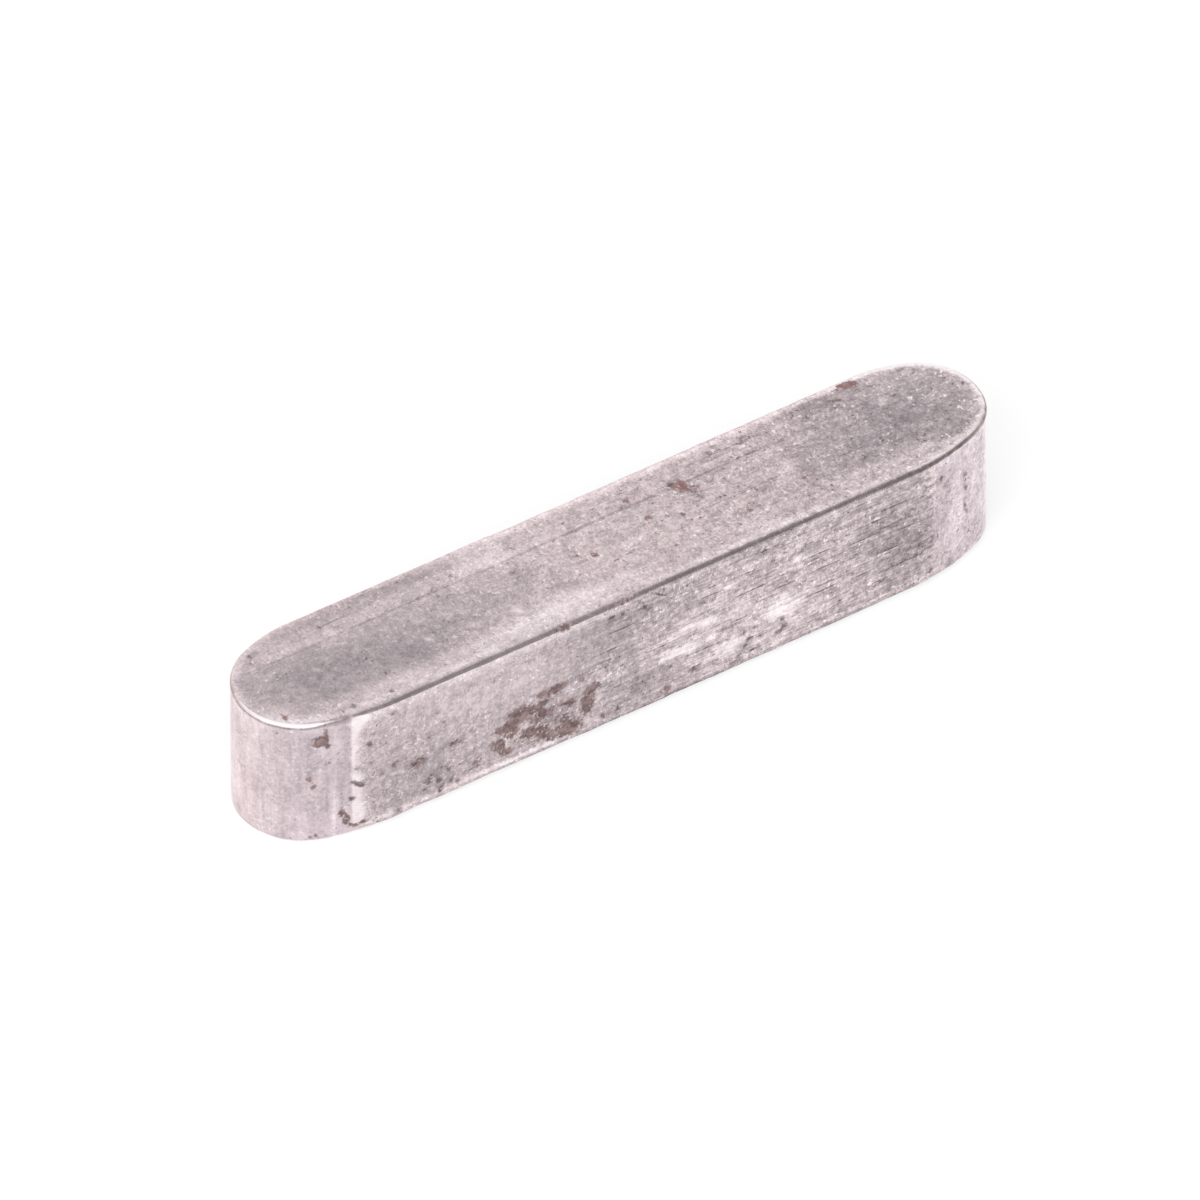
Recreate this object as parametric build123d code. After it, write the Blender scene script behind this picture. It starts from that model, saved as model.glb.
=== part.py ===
from build123d import *
from math import atan2, degrees
import os

# Parallel key with two round ends, one piece of bright drawn square key steel.
# Frame: +X runs along the key, +Y across it and +Z up, out of the shaft's keyway.
# Origin: the middle of the bottom face, which seats on the keyway's floor.
# Lengths are in millimetres.

# The bar.
length = 22.0  # over the two round ends
width = 4.0  # between the two flanks that carry the torque
height = 4.0  # from the keyway's floor to the hub side
arris_break = 0.13  # 45 degree break round the rim of the top and bottom faces

# The round ends. Each is three arcs that run into each other and into the sides without a corner:
# a nose, a little sharper than a full half round, and one long easing arc on each side of it.
nose_sharpening = 0.22  # the nose's radius is this much under half the width
nose_offset = 0.05  # the nose's centre lies this far off the centre line, towards +Y
front_easing_lead = 1.3  # the -Y side starts to curve this far before a full half round would
back_easing_lead = 0.6  # the same on the +Y side

half_width = width / 2
nose_radius = half_width - nose_sharpening


def easing_arc(lead, side_reach):
    """Start, radius and sweep of the arc that leaves a straight side and touches the nose.

    lead is how far before a full half round the arc starts, and side_reach is the distance from
    the nose's centre to that side. The start is measured back from the nose's centre, along X.
    """
    start = half_width + lead - nose_radius
    radius = (side_reach**2 + start**2 - nose_radius**2) / (2 * (side_reach - nose_radius))
    sweep = degrees(atan2(start, radius - side_reach))
    return start, radius, sweep


def round_end():
    """The +X end in plan, as three tangent arcs from the -Y side round to the +Y side."""
    nose_x = length / 2 - nose_radius
    front_start, front_radius, front_sweep = easing_arc(front_easing_lead, half_width + nose_offset)
    _, back_radius, back_sweep = easing_arc(back_easing_lead, half_width - nose_offset)
    nose_sweep = 180 - front_sweep - back_sweep
    front = JernArc((nose_x - front_start, -half_width), (1, 0), front_radius, front_sweep)
    nose = JernArc(front @ 1, front % 1, nose_radius, nose_sweep)
    back = JernArc(nose @ 1, nose % 1, back_radius, back_sweep)
    return [front, nose, back]


def plan():
    """The key's outline in plan: both round ends and the two straight sides between them."""
    right_end = round_end()
    left_end = [arc.mirror(Plane.YZ) for arc in right_end]
    front_side = Line(left_end[0] @ 0, right_end[0] @ 0)
    back_side = Line(right_end[-1] @ 1, left_end[-1] @ 1)
    return make_face(Wire([front_side, *right_end, back_side, *left_end]))


key = extrude(plan(), height, dir=(0, 0, 1))
rims = key.faces().filter_by(Plane.XY).edges()
key = chamfer(rims, arris_break)

os.makedirs("parts", exist_ok=True)
export_step(key, "parts/parallel_key.step")
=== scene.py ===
import math

import bpy
import numpy as np
from mathutils import Matrix, Vector


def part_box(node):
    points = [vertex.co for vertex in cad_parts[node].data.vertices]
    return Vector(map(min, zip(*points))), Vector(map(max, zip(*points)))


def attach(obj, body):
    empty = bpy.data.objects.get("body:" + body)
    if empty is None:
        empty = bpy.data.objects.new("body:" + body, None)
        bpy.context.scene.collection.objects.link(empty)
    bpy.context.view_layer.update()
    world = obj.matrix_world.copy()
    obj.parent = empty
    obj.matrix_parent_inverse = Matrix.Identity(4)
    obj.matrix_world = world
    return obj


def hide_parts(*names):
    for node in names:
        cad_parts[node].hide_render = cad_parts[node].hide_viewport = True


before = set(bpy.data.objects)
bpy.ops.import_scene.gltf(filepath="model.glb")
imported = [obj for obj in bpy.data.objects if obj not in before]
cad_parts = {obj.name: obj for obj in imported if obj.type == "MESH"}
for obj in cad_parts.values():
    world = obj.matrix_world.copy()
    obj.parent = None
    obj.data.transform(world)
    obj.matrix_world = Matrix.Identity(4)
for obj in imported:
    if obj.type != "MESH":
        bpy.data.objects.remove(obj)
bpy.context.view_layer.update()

# ---------------------------------------------------------------------------------------------
# The studio: a pale table in a white tent, with one soft lamp over the left shoulder of a long
# lens, and a darker room past the tent's open right side. The lens looks down at the key.

MM = 0.001
WHITE = (1, 1, 1, 1)
low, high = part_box("parallel_key")
centre = (low + high) / 2
scene = bpy.context.scene
scene.view_settings.view_transform = "Standard"


def add_node(tree, kind, inputs=None, **settings):
    """A new shader node: its settings are set, and each input takes a value or another node's output."""
    made = tree.nodes.new("ShaderNode" + kind)
    for name, value in settings.items():
        setattr(made, name, value)
    for name, value in (inputs or {}).items():
        if isinstance(value, bpy.types.NodeSocket):
            tree.links.new(value, made.inputs[name])
        else:
            made.inputs[name].default_value = value
    return made


def math_node(tree, operation, first, second=0.0, clamp=False):
    """The output of one Math node."""
    return add_node(tree, "Math", {0: first, 1: second}, operation=operation, use_clamp=clamp).outputs[0]


def times(tree, first, *others):
    """The product of outputs."""
    for other in others:
        first = math_node(tree, "MULTIPLY", first, other)
    return first


def vector_node(tree, operation, *values):
    """The output of one Vector Math node: a number for a dot product, and a vector for the others."""
    made = add_node(tree, "VectorMath", dict(enumerate(values)), operation=operation)
    return made.outputs["Value" if operation == "DOT_PRODUCT" else "Vector"]


def ramp(tree, value, start, end, low_out=0.0, high_out=1.0):
    """value carried smoothly from start..end to low_out..high_out, and held outside that range."""
    sockets = {"Value": value, "From Min": start, "From Max": end, "To Min": low_out, "To Max": high_out}
    return add_node(tree, "MapRange", sockets, interpolation_type="SMOOTHSTEP").outputs[0]


def build_world(window, shady_side, bright_side, open_side):
    """White to the lens. To dull surfaces, brighter towards the window than away from it.

    To polished metal, white but for a dim patch of strength open_side. It lies to the right: its
    directions have X between about 0.2 and 0.8, and Y under about 0.3.
    """
    world = bpy.data.worlds.new("tent")
    world.use_nodes = True
    tree = world.node_tree
    tree.nodes.clear()
    path = add_node(tree, "LightPath").outputs
    direction = add_node(tree, "TexCoord").outputs["Generated"]
    toward = add_node(tree, "SeparateXYZ", {0: direction}).outputs
    patch = times(tree, ramp(tree, toward["X"], 0.1, 0.3), ramp(tree, toward["X"], 0.92, 0.7),
                  ramp(tree, toward["Y"], 0.45, 0.2))
    seen_by_metal = ramp(tree, patch, 0.0, 1.0, 1.0, open_side)
    lit_side = vector_node(tree, "DOT_PRODUCT", direction, Vector(window).normalized())
    plain = ramp(tree, lit_side, -0.8, 0.9, shady_side, bright_side)
    level = times(tree, math_node(tree, "SUBTRACT", seen_by_metal, plain), path["Is Glossy Ray"])
    level = math_node(tree, "ADD", level, plain)
    level = math_node(tree, "MAXIMUM", level, path["Is Camera Ray"])
    background = add_node(tree, "Background", {"Color": WHITE, "Strength": level}).outputs[0]
    add_node(tree, "OutputWorld", {"Surface": background})
    scene.world = world


def build_table(half_side, paper, lens_share, metal_share):
    """The pale table top. The shares are how much of its white is its own glow, to the lens and in
    the metal, so that it stays white round the soft shadow. The rest of it is lit paper."""
    mesh = bpy.data.meshes.new("table_top")
    corners = [(-half_side, -half_side, low.z), (half_side, -half_side, low.z),
               (half_side, half_side, low.z), (-half_side, half_side, low.z)]
    mesh.from_pydata(corners, [], [(0, 1, 2, 3)])
    table = bpy.data.objects.new("table_top", mesh)
    scene.collection.objects.link(table)
    material = bpy.data.materials.new("white_table")
    material.use_nodes = True
    tree = material.node_tree
    tree.nodes.clear()
    path = add_node(tree, "LightPath").outputs
    lit = add_node(tree, "BsdfDiffuse", {"Color": (paper, paper, paper, 1)}).outputs[0]
    glow = add_node(tree, "Emission", {"Color": WHITE, "Strength": 1.0}).outputs[0]
    share = math_node(tree, "MAXIMUM", times(tree, path["Is Camera Ray"], lens_share),
                      times(tree, path["Is Glossy Ray"], metal_share))
    mixed = add_node(tree, "MixShader", {0: share, 1: lit, 2: glow}).outputs[0]
    add_node(tree, "OutputMaterial", {"Surface": mixed})
    mesh.materials.append(material)


def build_lamp(name, toward, distance, width, height, radiance):
    """A soft lamp that faces the key from a direction. It lights the key but isn't mirrored in it,
    so that no face of the metal shows its glare."""
    lamp = bpy.data.lights.new(name, "AREA")
    lamp.shape = "RECTANGLE"
    lamp.size = width
    lamp.size_y = height
    lamp.energy = radiance * math.pi * width * height
    placed = bpy.data.objects.new(name, lamp)
    placed.visible_glossy = False
    direction = Vector(toward).normalized()
    placed.location = centre + direction * distance
    placed.rotation_euler = direction.to_track_quat("Z", "Y").to_euler()
    scene.collection.objects.link(placed)


def build_camera(turn, tilt, roll, distance, view_width, aim_right, aim_up):
    """A lens far off: turned round the key, tilted down at it and rolled, with angles in degrees.

    It frames view_width at the key, and aims beside the key's centre by aim_right and aim_up.
    """
    turn, tilt, roll = map(math.radians, (turn, tilt, roll))
    film_width = 36
    back = Vector((math.sin(turn) * math.cos(tilt), -math.cos(turn) * math.cos(tilt), math.sin(tilt)))
    level = Vector((math.cos(turn), math.sin(turn), 0))
    upright = back.cross(level)
    right = level * math.cos(roll) + upright * math.sin(roll)
    up = back.cross(right)
    camera = bpy.data.objects.new("camera", bpy.data.cameras.new("camera"))
    camera.data.sensor_width = film_width
    camera.data.lens = film_width * distance / view_width
    camera.data.clip_start = 10 * MM
    camera.data.clip_end = 3000 * MM
    place = centre + right * aim_right + up * aim_up + back * distance
    camera.matrix_world = Matrix.Translation(place) @ Matrix((right, up, back)).transposed().to_4x4()
    scene.collection.objects.link(camera)
    scene.camera = camera


build_world(window=(-0.55, -0.65, 0.52), shady_side=0.36, bright_side=1.13, open_side=0.38)
build_table(half_side=400 * MM, paper=0.93, lens_share=0.62, metal_share=0.7)
build_lamp("left_lamp", toward=(-0.53, -0.56, 0.64), distance=250 * MM, width=200 * MM,
           height=130 * MM, radiance=5.5)
build_camera(turn=-33.07, tilt=41.90, roll=-0.26, distance=856.5 * MM, view_width=30.11 * MM,
             aim_right=-0.286 * MM, aim_up=0.052 * MM)

# ---------------------------------------------------------------------------------------------
# The key: one piece of bright drawn square steel, cut to length. Each end is ground round, and
# its rims are broken with a file. Handling has dulled it, and damp has pitted it in spots. Along
# its rims and round its ends its colour also carries painted highlights and painted shade.

# Its skin is a grid: rows run from the top's spine over the rim and down the wall to the bottom's
# spine, and columns stand STEP apart, round the key.
TOP_ROWS = 32
RIM_ROWS = 5
SIDE_ROWS = 62
BOTTOM_ROWS = 14
STEP = 0.062 * MM

# Each end's nose is an arc a little sharper than half the width and set off towards the back. The
# leads are how much sooner than on a full half round the front and the back start to bend.
length, width, height = high - low
half_width = width / 2
nose_radius = half_width - 0.22 * MM
nose_offset = 0.05 * MM
front_lead = 1.3 * MM
back_lead = 0.6 * MM


def easing_arc(lead, side_reach):
    """Start, radius and sweep of the arc that leaves a straight side and touches the nose's arc."""
    start = half_width + lead - nose_radius
    radius = (side_reach**2 + start**2 - nose_radius**2) / (2 * (side_reach - nose_radius))
    return start, radius, math.atan2(start, radius - side_reach)


def round_end(count=4000):
    """The +X end in plan from the -Y side to the +Y side: easing arc, nose arc, easing arc.

    A point of an arc is its centre plus its radius times the sine and cosine of its angle.
    """
    start_f, radius_f, sweep_f = easing_arc(front_lead, half_width + nose_offset)
    start_b, radius_b, sweep_b = easing_arc(back_lead, half_width - nose_offset)
    nose_x = length / 2 - nose_radius
    turn = np.linspace(0, 1, count)
    front = np.stack([nose_x - start_f + radius_f * np.sin(turn * sweep_f),
                      -half_width + radius_f * (1 - np.cos(turn * sweep_f))], 1)
    angle = sweep_f + turn * (math.pi - sweep_f - sweep_b)
    nose = np.stack([nose_x + nose_radius * np.sin(angle), nose_offset - nose_radius * np.cos(angle)], 1)
    back = np.stack([nose_x - start_b + radius_b * np.sin((1 - turn) * sweep_b),
                     half_width - radius_b * (1 - np.cos((1 - turn) * sweep_b))], 1)
    return np.concatenate([front, nose[1:], back[1:]])


def plan_loop():
    """Outline and spine points, one pair for each column of the mesh.

    Between the two poles a column stands at the same X on both sides, and its spine point lies on
    the centre line. Past a pole the columns are spaced evenly along the outline, round the pole.
    """
    pole = length / 2 - half_width
    end = round_end()
    straight = np.linspace(-pole, pole, 1 + int(round(2 * pole / STEP)))
    front_y = np.interp(abs(straight), end[:len(end) // 2, 0], end[:len(end) // 2, 1])
    back_y = np.interp(abs(straight), end[:len(end) // 2:-1, 0], end[:len(end) // 2:-1, 1])
    beyond = end[end[:, 0] > pole]
    walk = np.concatenate([[0], np.cumsum(np.hypot(*np.diff(beyond, axis=0).T))])
    stops = np.linspace(0, walk[-1], 2 + int(walk[-1] / STEP))[1:-1]
    cap = np.stack([np.interp(stops, walk, beyond[:, 0]), np.interp(stops, walk, beyond[:, 1])], 1)
    outline = np.concatenate([
        np.stack([straight, front_y], 1), cap,
        np.stack([straight[::-1], back_y[::-1]], 1), cap[::-1] * (-1, 1)])
    spine = np.stack([np.clip(outline[:, 0], -pole, pole), np.zeros(len(outline))], 1)
    return outline, spine


def way_round(outline):
    """Each column's distance in mm along the outline from the left tip, by way of the front.

    It runs below 0 on the fifth of the outline that comes before the tip.
    """
    steps = np.hypot(*(np.roll(outline, -1, 0) - outline).T)
    around = steps.sum()
    walk = np.concatenate([[0], np.cumsum(steps)[:-1]])
    walk = (walk - walk[np.argmin(outline[:, 0])]) % around
    return np.where(walk > 0.8 * around, walk - around, walk) / MM


def uneven(walk, knot, seed):
    """A wavering line from 0 to 1: smooth steps between random heights, one knot after another.

    The last height is the first one again, so that a line round the key closes.
    """
    share = (walk - walk.min()) / (walk.max() - walk.min())
    count = int((walk.max() - walk.min()) / knot) + 2
    heights = np.random.default_rng(seed).random(count)
    heights[-1] = heights[0]
    place = share * (count - 1)
    step = np.clip(place.astype(int), 0, count - 2)
    blend = place - step
    blend = blend * blend * (3 - 2 * blend)
    return heights[step] * (1 - blend) + heights[step + 1] * blend


def rim_corner(side_power, down_power):
    """The shares of a rim's break that each of its rows has lost sideways and downwards, and its lean.

    The shares are 1 minus the sine and 1 minus the cosine of its place on a quarter turn, each
    raised to a power: 1 makes a full round, 2 a flat bevel, and a power between them a bevel with
    soft corners. The lean is the cosine.
    """
    corner = np.linspace(0, math.pi / 2, RIM_ROWS + 2)
    return 1 - np.sin(corner) ** side_power, 1 - np.cos(corner) ** down_power, np.cos(corner)


def section_rows():
    """Rows of the skin from the top's spine to the bottom's, as five lists.

    They are the share of the way out from the spine, the share of the rim's break lost sideways,
    the height, the share of the break to add to it, and the lean of the surface: 1 faces up. The
    wall's rows stand closer together near its rims.
    """
    inset, drop, corner_lean = rim_corner(1.2, 1.3)
    inset_low, drop_low, _ = rim_corner(1.8, 1.8)
    top, bottom = TOP_ROWS - 1, BOTTOM_ROWS - 1
    wall_shares = [0, 0.1, 0.88, 1]
    wall_heights = [3.8, 3.58, 0.5, 0.24]
    wall = np.interp(np.linspace(0, 1, SIDE_ROWS), wall_shares, wall_heights) * MM
    flat = np.zeros(SIDE_ROWS)
    rim = len(inset)
    out = np.concatenate([np.linspace(0, 1, TOP_ROWS)[:-1], np.ones(2 * rim + SIDE_ROWS),
                          np.linspace(1, 0, BOTTOM_ROWS)[1:]])
    inward = np.concatenate([np.ones(top), inset, flat, inset_low[::-1], np.ones(bottom)])
    base = np.concatenate([np.full(top + rim, height), wall, np.zeros(rim + bottom)])
    shift = np.concatenate([np.zeros(top), -drop, flat, drop_low[::-1], np.zeros(bottom)])
    lean = np.concatenate([np.ones(top), corner_lean, flat, -corner_lean[::-1], -np.ones(bottom)])
    return out, inward, base, shift, lean


def smooth(value, start, end):
    """0 before start, 1 past end, and the smooth step s*s*(3 - 2*s) of the share s between them."""
    share = np.clip((value - start) / (end - start), 0, 1)
    return share * share * (3 - 2 * share)


def between(value, start, full, fading, end):
    """1 from full to fading, 0 before start and past end, and smooth steps between."""
    return smooth(value, start, full) * smooth(value, end, fading)


def soft_line(value, place, half_size):
    """1 at a place, falling off as e to the minus squared distance in half-sizes."""
    return np.exp(-((value - place) / half_size)**2)


def soft_edge(value, half_size):
    """1 up to 0, and a soft line's falling side past it."""
    return soft_line(np.maximum(value, 0), 0, half_size)


def ovals(along, across, places):
    """Soft oval patches added up: each is its strength times e to the minus squared distance from
    its centre, measured in half-sizes."""
    added = np.zeros_like(along)
    for x, y, half_x, half_y, strength in places:
        added += strength * np.exp(-((along - x) / half_x)**2 - ((across - y) / half_y)**2)
    return added


# Marks have a centre and half-sizes in mm, and a strength. On the top the centre is X and Y, and
# on the wall it is the way round from the left tip and the height.

# Shades: how much paler the steel is there, or darker where it is below 0. The broad pale strips
# on the wall round both tips are painted reflections of the white table and tent.
TOP_SHADES = [
    (-8.0, 1.17, 0.4, 0.14, -0.05), (-5.7, -1.0, 0.8, 0.16, -0.035), (-0.1, -1.08, 0.8, 0.13, -0.045),
    (7.2, -0.95, 2.0, 0.2, -0.05), (8.3, -1.38, 0.8, 0.09, 0.05), (-8.3, -0.25, 2.9, 1.15, -0.125),
    (8.9, -0.3, 2.1, 1.3, -0.125), (-7.4, 1.75, 1.9, 0.3, -0.08), (7.3, 1.6, 1.3, 0.5, -0.09),
    (-5.0, 1.7, 1.4, 0.3, -0.07), (-4.4, -0.2, 1.6, 0.8, -0.035), (-6.2, -0.8, 0.8, 0.4, -0.06),
    (-2.6, 0.3, 0.4, 0.35, -0.04), (7.8, 0.6, 1.6, 0.8, -0.03), (5.6, -0.3, 1.6, 1.0, -0.04),
    (-3.0, 1.4, 0.7, 0.6, 0.08), (-2.2, 1.0, 1.8, 0.25, 0.05), (-2.6, -1.35, 2.3, 0.32, 0.135),
    (-7.2, -1.28, 0.55, 0.17, 0.05), (-8.0, -1.4, 2.6, 0.3, 0.07), (-10.4, -1.0, 0.35, 0.6, 0.12),
    (7.4, -1.35, 1.3, 0.25, 0.06), (0.3, -0.4, 1.4, 0.6, 0.02), (-8.3, 1.15, 1.6, 0.2, 0.05),
    (-8.72, 0.04, 0.08, 0.08, 0.16), (-5.8, -0.51, 0.08, 0.09, 0.18), (-3.33, -0.85, 0.12, 0.09, 0.23),
    (8.6, 0.73, 0.17, 0.11, 0.11), (0.33, -0.31, 0.16, 0.11, 0.07), (4.93, -1.72, 0.13, 0.07, 0.14),
    (2.44, 1.78, 0.13, 0.07, 0.14), (5.07, -0.1, 0.39, 0.28, 0.05), (-7.6, 0.85, 0.45, 0.34, 0.05)]
WALL_SHADES = [
    (13.4, 3.45, 1.2, 0.35, -0.055), (11.9, 3.1, 0.9, 0.6, -0.03), (15.3, 3.65, 1.0, 0.2, -0.04),
    (18.4, 3.62, 1.8, 0.16, -0.045), (17.3, 0.5, 1.2, 0.25, -0.045), (21.62, 1.9, 0.13, 1.1, -0.05),
    (21.05, 1.5, 0.25, 0.7, 0.03), (14.6, 1.85, 0.7, 0.35, 0.035), (0.3, 1.8, 0.5, 1.2, -0.03),
    (2.05, 3.6, 0.3, 0.4, -0.05), (0.7, 3.7, 0.35, 0.4, 0.025), (5.3, 0.5, 0.8, 0.3, -0.03),
    (-1.4, 2.0, 1.6, 4.0, 0.14), (0.3, 2.0, 0.6, 4.0, 0.03), (2.55, 2.0, 0.45, 3.0, 0.03),
    (0.9, 0.6, 0.5, 0.6, 0.03), (7.2, 3.0, 2.2, 0.8, 0.03), (10.6, 2.8, 1.6, 0.9, -0.075),
    (10.6, 3.45, 1.3, 0.2, -0.06), (8.3, 1.2, 2.2, 0.7, -0.03), (2.42, 1.2, 0.05, 0.8, -0.07),
    (2.6, 1.1, 0.06, 0.9, 0.09), (2.78, 1.4, 0.05, 0.7, -0.06), (0.75, 1.1, 0.04, 0.7, -0.04),
    (5.2, 1.3, 1.3, 0.8, -0.06), (14.9, 1.6, 2.6, 1.0, 0.02), (16.0, 2.65, 0.35, 0.12, 0.06),
    (19.45, 2.0, 0.85, 1.2, -0.13), (4.5, 2.2, 1.3, 1.6, -0.018), (20.1, 1.7, 0.4, 0.6, -0.06),
    (18.3, 2.6, 1.0, 0.8, -0.045), (20.42, 3.4, 0.12, 0.5, 0.08), (21.3, 1.5, 0.25, 0.7, 0.05),
    (21.8, 0.6, 0.35, 0.3, -0.06), (21.1, 0.3, 0.5, 0.25, -0.08), (20.9, 2.9, 0.35, 0.7, -0.03),
    (22.95, 3.4, 0.42, 1.2, 0.24), (23.0, 1.6, 0.45, 1.6, 0.2), (11.7, 0.8, 0.9, 0.5, -0.09),
    (10.4, 0.35, 0.8, 0.2, -0.04), (9.0, 1.2, 1.4, 0.9, -0.04), (6.5, 0.25, 4.0, 0.16, 0.06),
    (16.3, 2.82, 0.15, 0.09, 0.14), (14.27, 2.9, 0.15, 0.06, 0.14), (12.9, 2.15, 0.22, 0.07, 0.07),
    (13.76, 1.53, 0.13, 0.18, 0.07), (21.95, 2.5, 0.11, 0.16, 0.09), (21.9, 1.35, 0.09, 0.11, 0.09),
    (8.15, 1.3, 0.16, 0.18, 0.16), (9.5, 1.8, 0.13, 0.11, 0.11), (9.3, 0.95, 0.11, 0.11, 0.11),
    (10.35, 1.1, 0.1, 0.11, 0.14), (10.3, 0.4, 0.16, 0.09, 0.14), (7.95, 1.05, 0.11, 0.16, 0.14),
    (10.05, 0.5, 0.11, 0.13, 0.09)]
# Patches of the wall that are rubbed clean, and how pale each is.
PALE_PATCHES = [
    (12.5, 2.0, 0.5, 0.14, 0.16), (16.3, 1.45, 0.3, 0.08, 0.14), (12.9, 2.42, 0.34, 0.1, 0.14),
    (13.05, 2.2, 0.3, 0.1, 0.12), (13.58, 2.05, 0.36, 0.17, 0.2), (12.55, 1.5, 0.65, 0.16, 0.18),
    (13.1, 1.42, 0.3, 0.16, 0.16), (13.72, 1.5, 0.16, 0.17, 0.2), (14.35, 0.95, 0.5, 0.22, 0.2),
    (15.7, 1.4, 0.36, 0.26, 0.24), (16.05, 1.25, 0.28, 0.25, 0.22), (15.92, 1.75, 0.2, 0.22, 0.18),
    (16.75, 1.6, 0.22, 0.11, 0.2), (16.35, 2.83, 0.2, 0.08, 0.15), (16.0, 2.63, 0.3, 0.07, 0.13),
    (14.25, 2.92, 0.15, 0.06, 0.15), (14.15, 0.7, 0.25, 0.12, 0.12), (15.7, 0.4, 0.3, 0.09, 0.14),
    (14.2, 2.95, 0.5, 0.4, 0.03), (15.3, 2.2, 0.9, 0.3, 0.04), (17.1, 0.95, 0.5, 0.18, 0.08)]
# Pits, and how deep and dark each is.
TOP_PITS = [
    (-8.69, -1.58, 0.12, 0.1, 0.22), (-7.6, -1.6, 0.09, 0.09, 0.22), (-9.04, -1.58, 0.07, 0.09, 0.18),
    (-7.84, 1.36, 0.07, 0.12, 0.13), (-7.45, 1.12, 0.16, 0.11, 0.15), (-8.36, 1.22, 0.09, 0.09, 0.12),
    (-10.0, 1.16, 0.1, 0.08, 0.15), (-9.88, 1.41, 0.07, 0.08, 0.2), (-2.2, 1.17, 0.11, 0.15, 0.15),
    (-2.53, 0.77, 0.11, 0.07, 0.21), (-3.3, -1.07, 0.11, 0.07, 0.18), (2.11, -0.09, 0.07, 0.07, 0.18),
    (2.4, -0.42, 0.06, 0.07, 0.18), (2.83, 0.3, 0.18, 0.18, 0.18), (4.7, 1.33, 0.13, 0.09, 0.15),
    (9.0, 0.72, 0.19, 0.09, 0.13), (8.5, 1.6, 0.09, 0.09, 0.1), (-1.75, -0.75, 0.34, 0.22, 0.08),
    (2.43, 1.0, 0.12, 0.1, 0.26), (2.9, 0.66, 0.16, 0.08, 0.17), (2.75, 0.5, 0.12, 0.07, 0.14),
    (1.73, 0.05, 0.08, 0.1, 0.2), (2.07, -0.1, 0.06, 0.07, 0.2), (7.62, 1.4, 0.1, 0.07, 0.14),
    (10.7, 0.16, 0.06, 0.08, 0.26), (8.56, -1.0, 0.05, 0.2, 0.16), (4.9, 1.5, 0.12, 0.1, 0.16),
    (4.5, 1.2, 0.1, 0.08, 0.12)]
WALL_PITS = [
    (3.56, 2.9, 0.08, 0.11, 0.24), (3.9, 1.76, 0.09, 0.08, 0.19), (4.24, 3.62, 0.09, 0.07, 0.19),
    (5.64, 1.09, 0.13, 0.09, 0.19), (5.29, 0.8, 0.16, 0.11, 0.19), (4.36, 0.33, 0.13, 0.09, 0.22),
    (4.95, 1.62, 0.25, 0.2, 0.12), (4.3, 1.9, 0.16, 0.14, 0.14), (5.9, 1.74, 0.3, 0.12, 0.12),
    (9.1, 1.35, 0.3, 0.4, 0.08), (5.51, 3.0, 0.1, 0.07, 0.16), (5.73, 2.6, 0.08, 0.07, 0.19),
    (5.29, 2.29, 0.08, 0.08, 0.16), (10.47, 0.45, 0.11, 0.09, 0.26), (10.92, 0.5, 0.07, 0.16, 0.19),
    (9.36, 0.95, 0.1, 0.1, 0.19), (13.2, 0.68, 0.15, 0.1, 0.24), (14.72, 1.13, 0.06, 0.12, 0.3),
    (14.87, 0.88, 0.13, 0.08, 0.3), (14.74, 0.66, 0.09, 0.1, 0.3), (15.2, 0.8, 0.08, 0.07, 0.25),
    (15.87, 1.07, 0.1, 0.08, 0.32), (15.95, 0.8, 0.12, 0.08, 0.32), (15.75, 0.68, 0.13, 0.07, 0.28),
    (14.25, 1.12, 0.1, 0.06, 0.16), (14.2, 0.42, 0.12, 0.06, 0.15), (15.34, 3.58, 0.16, 0.07, 0.22),
    (17.6, 0.8, 0.08, 0.08, 0.22), (20.7, 3.33, 0.08, 0.1, 0.26), (20.37, 0.45, 0.07, 0.12, 0.26),
    (3.12, 1.78, 0.06, 0.05, 0.5), (3.22, 1.69, 0.08, 0.05, 0.55), (3.34, 1.6, 0.08, 0.05, 0.5),
    (3.08, 1.24, 0.09, 0.05, 0.5), (3.16, 2.2, 0.12, 0.04, 0.3), (5.35, 1.02, 0.1, 0.08, 0.2),
    (5.6, 0.7, 0.1, 0.1, 0.22), (5.86, 0.95, 0.09, 0.1, 0.2), (5.95, 0.55, 0.08, 0.1, 0.24),
    (5.15, 0.62, 0.12, 0.06, 0.18), (6.9, 3.3, 0.1, 0.07, 0.12), (7.26, 3.18, 0.07, 0.06, 0.2),
    (10.75, 3.62, 0.12, 0.08, 0.24), (11.1, 3.55, 0.09, 0.09, 0.22), (11.75, 3.5, 0.1, 0.14, 0.22),
    (11.55, 3.72, 0.1, 0.07, 0.2), (14.0, 1.18, 0.3, 0.05, 0.15), (12.45, 2.35, 0.08, 0.06, 0.22),
    (13.1, 0.62, 0.14, 0.09, 0.04), (14.4, 0.3, 0.2, 0.05, 0.2), (15.0, 0.45, 0.2, 0.07, 0.2),
    (14.55, 0.45, 0.08, 0.07, 0.24), (21.6, 2.9, 0.12, 0.12, 0.23), (21.57, 2.6, 0.08, 0.13, 0.19),
    (21.63, 2.4, 0.07, 0.1, 0.2), (21.56, 2.05, 0.05, 0.12, 0.15), (21.6, 1.8, 0.07, 0.13, 0.24),
    (21.69, 1.55, 0.06, 0.14, 0.22), (21.74, 1.2, 0.06, 0.1, 0.14), (21.98, 2.4, 0.05, 0.08, 0.17),
    (20.85, 3.0, 0.07, 0.07, 0.2)]
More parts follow.
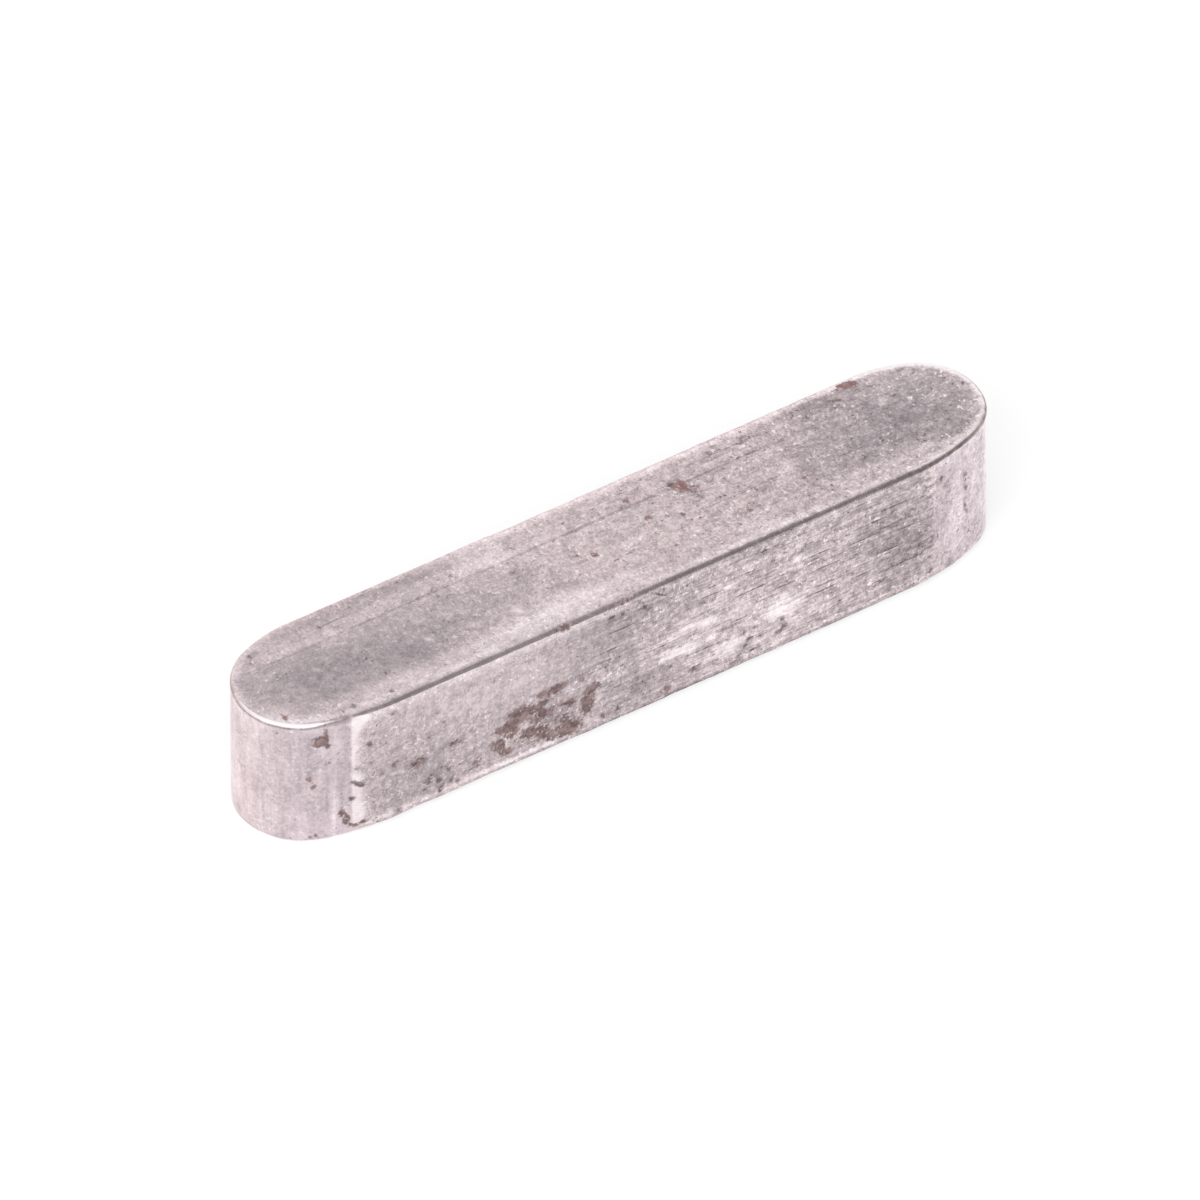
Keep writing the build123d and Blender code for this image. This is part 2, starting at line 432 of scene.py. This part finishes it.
# Rust, and how much of the spot it covers.
TOP_RUST = [
    (2.6, 0.86, 0.2, 0.22, 1.0), (2.8, 0.66, 0.16, 0.12, 0.6), (2.94, 0.55, 0.1, 0.1, 0.6),
    (1.18, 1.12, 0.1, 0.1, 0.8), (1.3, 0.27, 0.13, 0.09, 0.9), (3.87, 1.47, 0.16, 0.1, 0.5),
    (3.58, -0.87, 0.13, 0.1, 0.6), (3.82, -0.68, 0.16, 0.08, 0.5), (5.4, -0.63, 0.08, 0.08, 0.5),
    (-0.6, -0.12, 0.09, 0.14, 0.7), (8.1, 1.74, 0.2, 0.16, 1.0), (8.35, 1.66, 0.16, 0.12, 0.8),
    (7.7, 1.35, 0.09, 0.09, 0.6), (-10.38, -0.97, 0.09, 0.15, 0.8), (1.33, -0.92, 0.06, 0.12, 0.6),
    (-1.0, 0.04, 0.08, 0.09, 0.7)]
WALL_RUST = [
    (1.5, 0.13, 0.05, 0.05, 0.5), (1.86, 0.16, 0.06, 0.05, 0.5), (7.93, 1.7, 0.28, 0.28, 1.3),
    (7.48, 1.48, 0.26, 0.13, 1.1), (7.74, 1.22, 0.16, 0.18, 1.1), (8.35, 1.68, 0.28, 0.14, 1.1),
    (8.72, 1.78, 0.12, 0.14, 0.9), (8.68, 2.08, 0.15, 0.11, 1.0), (9.12, 2.03, 0.24, 0.16, 1.2),
    (8.62, 1.4, 0.2, 0.16, 1.1), (9.08, 1.4, 0.28, 0.36, 0.42), (9.52, 1.37, 0.15, 0.14, 1.0),
    (10.03, 1.25, 0.19, 0.33, 1.2), (10.27, 1.58, 0.12, 0.13, 0.9), (9.56, 0.54, 0.27, 0.24, 1.2),
    (9.23, 0.48, 0.2, 0.16, 0.9), (8.19, 0.93, 0.3, 0.17, 0.85), (8.72, 0.76, 0.24, 0.22, 1.0),
    (8.5, 1.1, 0.3, 0.2, 0.5), (9.3, 0.9, 0.3, 0.25, 0.45), (10.0, 1.0, 0.14, 0.2, 0.9),
    (8.9, 0.5, 0.12, 0.13, 0.7), (7.4, 0.95, 0.18, 0.22, 0.95), (7.62, 0.66, 0.2, 0.12, 0.9),
    (7.2, 1.1, 0.12, 0.12, 0.6), (6.71, 0.79, 0.13, 0.16, 0.9), (6.4, 0.62, 0.14, 0.08, 0.65),
    (9.65, 2.08, 0.09, 0.12, 0.6), (9.86, 2.02, 0.1, 0.12, 0.6), (6.0, 1.74, 0.3, 0.1, 0.65),
    (4.96, 1.6, 0.24, 0.19, 0.8), (4.3, 1.9, 0.14, 0.12, 0.6), (2.24, 3.38, 0.18, 0.13, 1.15),
    (2.38, 3.36, 0.14, 0.14, 1.15), (2.4, 3.66, 0.06, 0.12, 0.8), (2.46, 3.14, 0.06, 0.1, 0.7),
    (2.16, 3.24, 0.09, 0.06, 0.6), (1.97, 2.14, 0.09, 0.12, 0.85), (2.07, 1.86, 0.08, 0.1, 0.7),
    (2.46, 2.6, 0.08, 0.08, 0.5), (2.8, 0.84, 0.09, 0.15, 1.0), (2.92, 0.54, 0.09, 0.16, 1.0),
    (3.08, 0.34, 0.12, 0.07, 1.0), (3.34, 0.36, 0.13, 0.06, 0.8), (1.42, 0.2, 0.05, 0.05, 0.6),
    (1.75, 0.19, 0.06, 0.05, 0.7), (1.95, 0.21, 0.07, 0.05, 0.7), (2.1, 0.24, 0.05, 0.06, 0.6),
    (12.36, 0.4, 0.13, 0.12, 0.9), (13.85, 0.51, 0.07, 0.12, 0.6), (14.3, 0.4, 0.1, 0.08, 0.6),
    (5.6, 0.4, 0.1, 0.12, 0.8), (6.12, 0.42, 0.07, 0.16, 0.6), (5.3, 0.9, 0.1, 0.08, 0.5),
    (9.4, 3.95, 0.16, 0.12, 0.9), (11.2, 3.98, 0.26, 0.1, 0.55), (12.3, 3.84, 0.12, 0.1, 0.5)]
# Cuts, which are thin and straight: centre, half-length and half-width in mm, and slope in degrees.
# The top's centres are X and Y, and the wall's are X and Z.
TOP_CUTS = [
    (0.0, 0.885, 14.0, 0.07, 0), (4.4, 1.38, 1.8, 0.03, 0), (-7.4, 1.37, 1.3, 0.03, 0),
    (3.9, 1.22, 0.6, 0.03, 0), (3.9, -0.23, 2.2, 0.025, 0), (9.0, 0.7, 0.2, 0.04, -30),
    (-9.9, 1.3, 0.2, 0.035, 60)]
WALL_CUTS = [
    (0.2, 1.92, 0.6, 0.03, 0), (2.3, 1.53, 0.6, 0.035, 0), (1.45, 1.2, 0.6, 0.03, 0),
    (2.8, 2.47, 0.7, 0.028, 0), (3.75, 2.52, 0.6, 0.03, 0), (3.3, 1.98, 0.75, 0.028, 0),
    (4.0, 2.14, 0.35, 0.025, 0), (4.95, 2.71, 0.6, 0.03, 0), (5.05, 2.18, 0.6, 0.028, 0),
    (5.15, 1.61, 0.6, 0.025, 0), (5.05, 1.42, 0.75, 0.03, 0), (2.9, 3.11, 0.5, 0.025, 0),
    (7.3, 3.19, 0.55, 0.03, 0), (7.5, 1.17, 0.9, 0.03, 0), (6.2, 2.53, 0.6, 0.025, 0),
    (7.0, 1.8, 0.6, 0.025, 0), (-1.45, 2.55, 0.5, 0.028, 0), (-1.45, 2.24, 0.45, 0.028, 0),
    (0.9, 2.26, 0.5, 0.025, 0), (-1.0, 3.1, 0.6, 0.025, 0), (0.1, 3.72, 0.4, 0.04, -35),
    (-8.85, 1.68, 0.24, 0.07, -37), (-9.0, 1.21, 0.14, 0.06, -15), (1.6, 2.9, 0.6, 0.025, 0),
    (6.8, 2.95, 0.5, 0.028, 0), (6.3, 1.35, 0.5, 0.028, 0), (7.6, 2.3, 0.4, 0.028, 0)]
# How far the file broke the rims, in mm: the place on the way round, inwards and downwards at the
# top, and upwards at the foot.
FILED = [
    (-8, 0.13, 0.13, 0.15), (-1, 0.06, 0.12, 0.12), (1.8, 0.06, 0.15, 0.13), (2.6, 0.03, 0.06, 0.14),
    (3.0, 0.05, 0.05, 0.16), (3.5, 0.12, 0.08, 0.185), (5, 0.135, 0.075, 0.185),
    (9.3, 0.135, 0.085, 0.17), (10.2, 0.13, 0.13, 0.155), (12.0, 0.105, 0.14, 0.15),
    (15, 0.095, 0.155, 0.145), (18.0, 0.09, 0.15, 0.15), (20.2, 0.1, 0.135, 0.175),
    (20.8, 0.1, 0.095, 0.185), (22.2, 0.1, 0.075, 0.215), (23.5, 0.1, 0.12, 0.2), (28, 0.16, 0.16, 0.2)]

# The skin before its wear. walk is the way round, rise the height, skin_x and skin_y the place in
# plan and inside the distance from the top's rim towards its spine, all in mm. lean is 1 on the
# top, 0 on the wall and -1 on the bottom.
outline, spine = plan_loop()
out, inward, base, shift, lean = section_rows()
walk = way_round(outline)[None] + 0 * base[:, None]
lean = lean[:, None] + 0 * walk
ahead = np.roll(outline, -1, 0) - np.roll(outline, 1, 0)
ahead /= np.hypot(*ahead.T)[:, None]
outward = np.stack([ahead[:, 1], -ahead[:, 0]], 1)
filed_at, *filed = np.array(FILED).T
filed_in, filed_down, filed_foot = [np.interp(walk[0], filed_at, sizes) for sizes in filed]
file_waver = 0.9 + 0.14 * uneven(walk[0], 0.7, 3) + 0.12 * uneven(walk[0], 0.17, 4)
break_in = np.where(lean > 0, filed_in, 0.9 * filed_foot) * file_waver * MM
break_down = np.where(lean > 0, filed_down, filed_foot) * file_waver * MM
level = base[:, None] + shift[:, None] * break_down
rise = level / MM
rim = outline[None] - (inward[:, None] * break_in)[..., None] * outward[None]
plan = spine[None] + out[:, None, None] * (rim - spine[None])
skin_x = plan[..., 0] / MM
skin_y = plan[..., 1] / MM
inside = (1 - out[:, None]) * half_width / MM

# Zones of the skin, 1 inside and 0 outside. On the way round the left tip is at 0, the front's
# middle at 12.05, the right tip at 24.1 and the back's middle at 36.1. Past 38.5 it starts again
# at -9.6, on the back at X = -2.4.
on_top = lean > 0.5
on_side = lean < 0.5
above_foot = lean > -0.1
top_and_brink = lean > 0.95
off_flats = abs(lean) < 0.99
bend = 2 * lean * np.sqrt(1 - lean**2)
top_bend = np.clip(bend, 0, 1)
low_bend = np.clip(-bend, 0, 1)
left_end = smooth(skin_x, -8.94, -9.02 + 0.02 * np.sin(3 * rise))
right_end = smooth(skin_x, 8.36, 8.46 + 0.03 * np.sin(2 * rise))
ground = (left_end + right_end) * off_flats
right_of_top = on_top * smooth(skin_x, 6.5, 8.5)
not_back = between(walk, -8, -1.5, 27, 37)

# The pale line where the left end's grinding stops, wide above and below, with a notch: partly
# burnished steel and partly a painted highlight where the wall starts to bend round the end.
left_crease = 3.07
left_part = walk < 6
band_width = 0.09 + 0.1 * smooth(rise, 2.2, 1.9) + 0.34 * smooth(rise, 3.1, 4.0)
band_width += 0.16 * (uneven(rise + 0 * walk, 0.22, 8) - 0.5)
band = smooth(walk, left_crease - 0.04, left_crease + 0.03) * left_part
band *= soft_edge(walk - left_crease - band_width, 0.12) * smooth(rise, 0.25, 0.5)
band *= 1 - 0.7 * soft_line(rise, 2.14, 0.07)

# Tone: how pale the steel is, before its grain, with painted light and shade laid into it below.
TOP_STEEL = 0.741
WALL_STEEL = 0.722
BOTTOM_STEEL = 0.72
clean = ovals(walk, rise, PALE_PATCHES) * on_side
nicks = np.where(on_top, ovals(skin_x, skin_y, TOP_PITS), ovals(walk, rise, WALL_PITS)) * above_foot
top_tone = TOP_STEEL + ovals(skin_x, skin_y, TOP_SHADES)
# A painted highlight: the top's rim is made paler round the front of the left end.
painted_rim_highlight = between(walk, -0.9, 0.3, 2.0, 2.9) * (lean < 0.9)
top_tone += 0.3 * painted_rim_highlight
wall_tone = WALL_STEEL + 0.01 * left_end + 0.055 * right_end + ovals(walk, rise, WALL_SHADES)
# The band's paleness is partly a painted highlight.
wall_tone += 0.4 * clean + 0.17 * band
tone = np.where(on_top, top_tone, wall_tone) - 0.35 * nicks

# The top's rim has a painted highlight round the front of the left end, with a painted dark line
# where it meets the wall, and painted shade along the front. The foot's rim and a line above it
# are painted dark as a painted contact shadow, but painted paler at the left end.
rim_foot = (height - break_down) / MM
painted_dark_rim_line = between(walk, -1.5, 0.3, 2.9, 3.4)
tone -= 0.2 * painted_dark_rim_line * soft_line(rise, rim_foot, 0.03) * above_foot
# Painted shade deepens the dark line that the dim patch's reflection gives the front rim.
painted_front_rim_shade = between(walk, 2.7, 3.4, 21.5, 22.3)
painted_front_rim_shade *= 1 + 2.5 * smooth(walk, 10, 13) - 0.6 * smooth(walk, 20.2, 20.8)
tone -= 0.035 * top_bend * painted_front_rim_shade
# A painted contact shadow darkens the foot's rim and a line above it; at the left end the foot's rim is
# painted paler.
painted_foot_shadow = 0.3 + 0.4 * smooth(walk, 5, 9) + 0.5 * between(walk, 9, 10.5, 14, 16)
painted_foot_shadow *= smooth(walk, 3.2, 4.6) * (0.4 + 0.6 * smooth(walk, 18.6, 17.8)) * smooth(walk, 20.8, 20.2)
tone -= 0.12 * low_bend * (painted_foot_shadow + 0.4) * smooth(walk, 22.4, 20.8)
pale_foot = between(walk, -1, 0.6, 3, 4.6)
tone += 0.16 * low_bend * pale_foot
tone -= 0.18 * painted_foot_shadow * soft_line(rise, 0.19, 0.045)

# Round both ends the top's rim carries painted shade, and round the right end and on along the
# back the top has a pale edge within it, a painted highlight.
painted_end_rim_shade = between(walk, 22.1, 22.9, 27, 32) + between(walk, -2.8, -1.2, 0, 0.9)
tone -= 0.16 * (lean > 0.1) * (lean < 0.85) * painted_end_rim_shade
edge_width = 0.09
painted_end_edge_highlight = between(walk, 19.6, 20.6, 26, 32)
tone += 0.2 * soft_line(inside, 0, edge_width) * top_and_brink * painted_end_edge_highlight
tone += 0.06 * soft_line(inside, 0.08, edge_width) * top_and_brink * smooth(walk, 26, 29)
tone = np.where(lean < -0.9, BOTTOM_STEEL, tone)

# Paler lines beside the rims, partly steel rubbed by handling and partly a painted highlight
# along the rims.
front_half = between(walk, 0.8, 2.6, 22.5, 23.5)
top_line_share = 1 - 0.8 * between(walk, 7, 8, 11.6, 12.4)
rubbed_and_sheen_top = 0.9 * soft_line(inside, 0.14, 0.12) * front_half * top_line_share
rubbed_and_sheen_top += soft_line(inside, 0, 0.14) * (1 - front_half)
under_rim = 0.35 + 0.65 * smooth(walk, 12.4, 11.4) + 0.65 * smooth(walk, 20.2, 20.6)
over_foot = (1.0 + 0.7 * smooth(walk, 6, 7.5)) * smooth(walk, 9.3, 8.9) * (1 - left_end)
over_foot += 0.5 * smooth(walk, 12.5, 13.5)
rubbed_and_sheen_wall = under_rim * soft_edge(3.84 - rise, 0.15) + over_foot * soft_line(rise, 0.33, 0.07)
rubbed_and_sheen = np.where(lean >= 0.99, rubbed_and_sheen_top, rubbed_and_sheen_wall * (1 - 0.5 * ground)) * (1 - top_bend)

# Rust near the wall's upper edge runs on over the top's rim. The foot's rim and the bottom are bare.
rust = np.where(on_top, ovals(skin_x, skin_y, TOP_RUST), ovals(walk, rise, WALL_RUST))
rim_height = 3.95 + 0 * rise
rust = np.where((lean > 0.1) & (lean < 0.99), ovals(walk, rim_height, WALL_RUST), rust)
rust = np.where(above_foot, rust, 0)

# Contrast: how strong the grain is. Grinding, burnishing and rubbing have weakened it.
top_contrast = 1.2 + 0.28 * np.tanh(skin_x / 5) + 0.13 * soft_line(skin_x, -3.3, 2.2)
wall_contrast = 1.45 + (0.05 + 0.2 * np.tanh((walk - 11) / 3)) * not_back
contrast = np.where(on_top, top_contrast, wall_contrast)
contrast *= 1 - off_flats * (0.5 * left_end + 0.32 * right_end + 0.6 * band)
contrast *= 1 - 1.8 * off_flats * np.clip(clean, 0, 0.15)
contrast *= 1 - 0.2 * off_flats * smooth(rise, 2.0, 2.6) * between(walk, 3, 5, 10, 12.5)
flecks = 0.125 * contrast + 0.08 * rubbed_and_sheen + 0.2 * rust + 0.05 * right_of_top
contrast *= 1 - 0.1 * right_of_top

# Drawn: how far the lines left by the drawing die show.
drawn_wall = 0.4 + (0.85 * smooth(walk, 8.5, 12.5) - 0.2) * not_back
drawn = np.where(on_top, 0.12 + 0.25 * smooth(skin_x, -5, 3), drawn_wall) * (1 - ground)

# Tint: the share by which red, green and blue are raised.
pink = soft_line(skin_y, 1.86, 0.13) * on_top + 0.8 * smooth(walk, 1.3, 0.3) * on_side
pink += 0.3 * on_top * between(skin_x, -3, -1, 5, 7)
blue = ground * between(walk, 0.5, 1.6, 22, 24) * on_side
brown = top_bend * (between(walk, 18.5, 20.5, 23, 25) + 2 * between(walk, -5, -3, -1, 0.5))
tint = 1 + pink[..., None] * (0.04, 0, -0.005) + blue[..., None] * (0, 0, 0.03)
tint += brown[..., None] * (0.03, 0, -0.05)

# Relief in mm, always inward: hollows under the rust and the pits, ripples left by the grinding,
# which leave the tips alone, and a step where the left end's grinding stops.
RUST_DEPTH = 0.014
PIT_DEPTH = 0.04
RIPPLE_DEPTH = 0.004
STEP_DEPTH = 0.012
depth = RUST_DEPTH * np.clip(rust, 0, 1) + PIT_DEPTH * np.clip(nicks, 0, 1)
ripple = uneven(walk[0], 0.22, 5)[None] + 0.6 * uneven(walk[0], 0.09, 6)[None]
depth += RIPPLE_DEPTH * ripple * ground * (1 - soft_line(abs(skin_x), length / 2 / MM, 0.4))
depth += STEP_DEPTH * ground * smooth(walk, left_crease - 0.5, left_crease) * left_part
depth = depth * MM * (1 - low_bend)
level = level - depth * lean
plan -= (depth * np.sqrt(1 - lean**2))[..., None] * outward[None]

# The grid closes round the key. Points that fall together on the spines are welded, and past the
# poles this turns the innermost quads into triangles.
grid = np.concatenate([plan, level[..., None]], 2)
rows, columns = grid.shape[:2]
number = np.arange(rows * columns).reshape(rows, columns)
beside = np.roll(number, -1, 1)
quads = np.stack([number[:-1], number[1:], beside[1:], beside[:-1]], -1).reshape(-1, 4)
points, first, welded = np.unique(np.round(grid.reshape(-1, 3), 9), axis=0, return_index=True,
                                  return_inverse=True)
quads = welded.reshape(-1)[quads]
whole = (quads[:, 0] != quads[:, 3]) & (quads[:, 1] != quads[:, 2])
tips = quads[~whole]
tips = np.where((tips[:, 0] == tips[:, 3])[:, None], tips[:, :3], tips[:, [0, 1, 3]])
mesh = bpy.data.meshes.new("key_body")
mesh.from_pydata(points, [], quads[whole].tolist() + tips.tolist())
mesh.polygons.foreach_set("use_smooth", np.ones(len(mesh.polygons), bool))
paint = {"tone": tone, "rubbed_and_sheen": rubbed_and_sheen, "rust": rust, "drawn": drawn, "ground": ground, "lean": lean,
         "contrast": contrast, "flecks": flecks, "nicks": nicks, "clean": clean}
for name, values in paint.items():
    painted = mesh.attributes.new(name, "FLOAT", "POINT")
    painted.data.foreach_set("value", values.reshape(-1)[first].astype(np.float32))
painted = mesh.attributes.new("tint", "FLOAT_VECTOR", "POINT")
painted.data.foreach_set("vector", tint.reshape(-1, 3)[first].reshape(-1).astype(np.float32))
key = bpy.data.objects.new("key_body", mesh)
scene.collection.objects.link(key)

steel = bpy.data.materials.new("drawn_steel")
steel.use_nodes = True
tree = steel.node_tree
shader = tree.nodes["Principled BSDF"]
in_metres = add_node(tree, "TexCoord").outputs["Object"]
place = vector_node(tree, "MULTIPLY", in_metres, (1 / MM, 1 / MM, 1 / MM))


def attribute(tree, name):
    """A value painted on the mesh's points."""
    return add_node(tree, "Attribute", attribute_name=name).outputs["Fac"]


def grain(tree, place, size, detail, stretch, seed):
    """Noise about 0, whose grains have the given size in mm, drawn out along the axes by stretch."""
    factor = [1 / (size * axis) for axis in stretch]
    scaled = vector_node(tree, "MULTIPLY_ADD", place, factor, (seed, 3.1 * seed, 7.7 * seed))
    noise = add_node(tree, "TexNoise", {"Vector": scaled, "Scale": 1.0, "Detail": detail}).outputs[0]
    return math_node(tree, "SUBTRACT", noise, 0.5)


def grains(tree, place, layers):
    """Layers of grain as terms for a total, each with its strength."""
    return [(grain(tree, place, *layer), strength) for *layer, strength in layers]


def total(tree, *terms):
    """Sum of outputs, each times its factor, given as (output, factor) pairs or plain outputs."""
    answer = None
    for term in terms:
        output, factor = term if isinstance(term, tuple) else (term, 1.0)
        scaled = times(tree, output, factor)
        answer = scaled if answer is None else math_node(tree, "ADD", answer, scaled)
    return answer


def mix(tree, share, first, second, blend="MIX"):
    """Two colours mixed by a share. A Mix node takes its colours in sockets 6 and 7, and gives one in 2."""
    sockets = {0: share, 6: first, 7: second}
    return add_node(tree, "Mix", sockets, data_type="RGBA", blend_type=blend).outputs[2]


# Grain, in layers: size in mm, detail, how far it is drawn out along X, Y and Z, seed, strength.
ROUND = (1, 1, 1)
ALONG = (12, 1, 1)
MOTTLE = [(0.6, 2, ROUND, 1, 0.08), (0.19, 2, ROUND, 2, 0.215),
          (0.09, 1, (1, 1.2, 1), 19, 0.145), (0.05, 1, (1, 1.2, 1), 3, 0.175)]
DIE_LINES = [(0.05, 1, (16, 1, 1), 6, 0.27), (0.14, 1, ALONG, 7, 0.18)]
GRINDING = [(0.06, 1, (1, 1, 9), 8, 0.08), (0.3, 1, (1, 1, 6), 9, 0.15),
            (0.5, 2, (1, 1, 1.5), 13, 0.14), (0.1, 2, ROUND, 17, 0.07)]
NICK_GRAIN = [(0.08, 2, ROUND, 20, 1.3), (0.22, 1, ROUND, 21, 0.6)]
CLEAN_GRAIN = [(0.12, 2, ROUND, 22, 1.3), (0.35, 1, ROUND, 23, 0.8)]
RUST_GRAIN = [(0.25, 2, ROUND, 10, 0.9), (0.1, 2, ROUND, 15, 1.5)]
CRUST_GRAIN = [(0.2, 2, ROUND, 11, 1.0), (0.07, 1, ROUND, 24, 0.5)]

painted = {name: attribute(tree, name) for name in paint}
lean = painted["lean"]
edge = ramp(tree, times(tree, lean, math_node(tree, "SUBTRACT", 1.0, lean)), 0.02, 0.15)

# The steel's grain: mottle and dark pits, and bright flecks that are partly pale grains and partly
# painted glints. They gather in places.
mottle = times(tree, total(tree, *grains(tree, place, MOTTLE)), painted["contrast"])
fleck = ramp(tree, grain(tree, place, 0.105, 1.5, (1, 1.3, 1), 4), 0.08, 0.22)
flecks_gather = ramp(tree, grain(tree, place, 0.7, 1, ROUND, 16), -0.12, 0.12, 0.35, 1.0)
sparkle = times(tree, fleck, times(tree, flecks_gather, painted["flecks"]))
pits = ramp(tree, grain(tree, place, 0.085, 1.5, ROUND, 5), -0.12, -0.24)
pits_gather = ramp(tree, grain(tree, place, 0.5, 1, ROUND, 18), -0.1, 0.12, 0.3, 1.0)
pits = times(tree, pits, pits_gather, total(tree, (painted["contrast"], -0.21), (lean, 0.04)))

# Lines left by the drawing die run along the key, and those left by grinding run up its ends.
dark_lines = ramp(tree, grain(tree, place, 0.06, 1, ALONG, 12), -0.12, -0.24)
die_lines = total(tree, *grains(tree, place, DIE_LINES), (dark_lines, -0.14))
die_lines = times(tree, die_lines, painted["drawn"])
grinding = times(tree, total(tree, *grains(tree, place, GRINDING)), painted["ground"])


def cuts(tree, place, places, axis, broken):
    """Thin straight marks in the plane of X and the given axis: 1 along the middle, 0 past the half-sizes.

    With a the distance along the mark in half-lengths and b the distance across it in half-widths,
    it is 1 minus the root of a*a + b*b, held above 0. The broken grain weakens it in places.
    """
    deepest = None
    for along, across, half_length, half_breadth, slope in places:
        turn = math.radians(slope)
        forward = [math.cos(turn), 0, 0]
        sideways = [-math.sin(turn), 0, 0]
        middle = [along, 0, 0]
        forward[axis] = math.sin(turn)
        sideways[axis] = math.cos(turn)
        middle[axis] = across
        reach = vector_node(tree, "SUBTRACT", place, middle)
        squares = []
        for direction, half_size in ((forward, half_length), (sideways, half_breadth)):
            part = vector_node(tree, "DOT_PRODUCT", reach, Vector(direction) / half_size)
            squares.append(times(tree, part, part))
        distance = math_node(tree, "SQRT", math_node(tree, "ADD", *squares))
        mark = math_node(tree, "SUBTRACT", 1.0, distance, clamp=True)
        deepest = mark if deepest is None else math_node(tree, "MAXIMUM", deepest, mark)
    return times(tree, deepest, ramp(tree, broken, -0.2, 0.05, 0.25, 1.0))


# The cuts sway sideways by up to half of sway, in mm. The top's are on its flat alone, and the
# wall's on its front alone.
sway = 0.05
slow = vector_node(tree, "MULTIPLY", place, (0.6, 0.6, 0.6))
swaying = add_node(tree, "TexNoise", {"Vector": slow, "Scale": 1.0, "Detail": 2.0}).outputs["Color"]
swaying = vector_node(tree, "MULTIPLY_ADD", swaying, (0, sway, sway), (0, -sway / 2, -sway / 2))
swayed = vector_node(tree, "ADD", place, swaying)
broken = grain(tree, place, 0.12, 2, (2, 1, 1), 14)
top_cuts = times(tree, cuts(tree, swayed, TOP_CUTS, 1, broken), ramp(tree, lean, 0.9, 1.0))
front = ramp(tree, add_node(tree, "SeparateXYZ", {0: place}).outputs["Y"], -1.8, -1.95)
wall_cuts = times(tree, cuts(tree, swayed, WALL_CUTS, 2, broken), front)
cut = math_node(tree, "ADD", top_cuts, wall_cuts, clamp=True)

# Grain frays the edges of the painted pits and pale patches.
nick_edge = total(tree, (painted["nicks"], 4.0), *grains(tree, place, NICK_GRAIN))
nicked = times(tree, ramp(tree, nick_edge, 0.35, 0.8), ramp(tree, painted["nicks"], 0.02, 0.08))
clean_edge = total(tree, (painted["clean"], 6.0), *grains(tree, place, CLEAN_GRAIN))
cleaned = times(tree, ramp(tree, clean_edge, 0.36, 0.8), ramp(tree, painted["clean"], 0.02, 0.07))

# The steel's colours, from its darkest marks to its palest, at their shades.
STEEL_COLOURS = [
    (0.4, (0.16, 0.128, 0.13, 1)), (0.5, (0.275, 0.222, 0.232, 1)), (0.6, (0.39, 0.335, 0.353, 1)),
    (0.68, (0.505, 0.434, 0.45, 1)), (0.75, (0.65, 0.55, 0.561, 1)), (0.8, (0.735, 0.635, 0.652, 1)),
    (0.9, (0.91, 0.815, 0.84, 1)), (1.0, (1.0, 0.95, 0.96, 1))]
# The shade adds the tone, which carries painted light and shade, and the pale lines beside the rims, partly
# painted highlight.
shade = total(tree, painted["tone"], mottle, sparkle, pits, die_lines, grinding, (painted["rubbed_and_sheen"], 0.09),
              (top_cuts, -0.15), (wall_cuts, -0.36), (nicked, -0.18), (cleaned, 0.08))
steel_colours = add_node(tree, "ValToRGB", {0: shade})
stops = steel_colours.color_ramp.elements
stops.remove(stops[1])
for position, colour in STEEL_COLOURS:
    stops.new(position).color = colour
stops.remove(stops[0])
tint = add_node(tree, "Attribute", attribute_name="tint").outputs["Vector"]
bare_steel = mix(tree, 1.0, steel_colours.outputs[0], tint, blend="MULTIPLY")

# Rust is a mix of two browns, redder on the top and darker on the rims. Grain frays its edges, and
# the bright flecks show through it.
DARK_CRUST = (0.082, 0.049, 0.046, 1)
PALE_CRUST = (0.215, 0.14, 0.135, 1)
TOP_CRUST = (0.31, 0.163, 0.146, 1)
RIM_CRUST = (0.095, 0.056, 0.052, 1)
rust_edge = total(tree, painted["rust"], *grains(tree, place, RUST_GRAIN))
rusted = times(tree, ramp(tree, rust_edge, 0.1, 0.7, 0.0, 0.95), ramp(tree, painted["rust"], 0.04, 0.26),
               ramp(tree, fleck, 0.0, 1.0, 1.0, 0.65))
crust_share = ramp(tree, total(tree, *grains(tree, place, CRUST_GRAIN)), -0.16, 0.18)
crust = mix(tree, crust_share, DARK_CRUST, PALE_CRUST)
crust = mix(tree, ramp(tree, lean, 0.9, 1.0, 0.0, 0.4), crust, TOP_CRUST)
crust = mix(tree, edge, crust, RIM_CRUST)

# Bare steel is metal and rust isn't. Rust is rougher, and pale grain and the rims are smoother.
ROUGHNESS = 0.42
tree.links.new(mix(tree, rusted, bare_steel, crust), shader.inputs["Base Color"])
tree.links.new(math_node(tree, "SUBTRACT", 1.0, rusted), shader.inputs["Metallic"])
roughness = total(tree, (mottle, -0.8), (rusted, 0.4), (edge, -0.16))
tree.links.new(math_node(tree, "ADD", roughness, ROUGHNESS, clamp=True), shader.inputs["Roughness"])
relief = total(tree, (mottle, 1.0), (pits, 2.0), (die_lines, 1.5), (grinding, 1.5), (rusted, -0.3),
               (cut, -0.6), (nicked, -0.5))
bump = add_node(tree, "Bump", {"Strength": 0.5, "Distance": 0.02 * MM, "Height": relief})
tree.links.new(bump.outputs[0], shader.inputs["Normal"])
mesh.materials.append(steel)

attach(key, "root")
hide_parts("parallel_key")
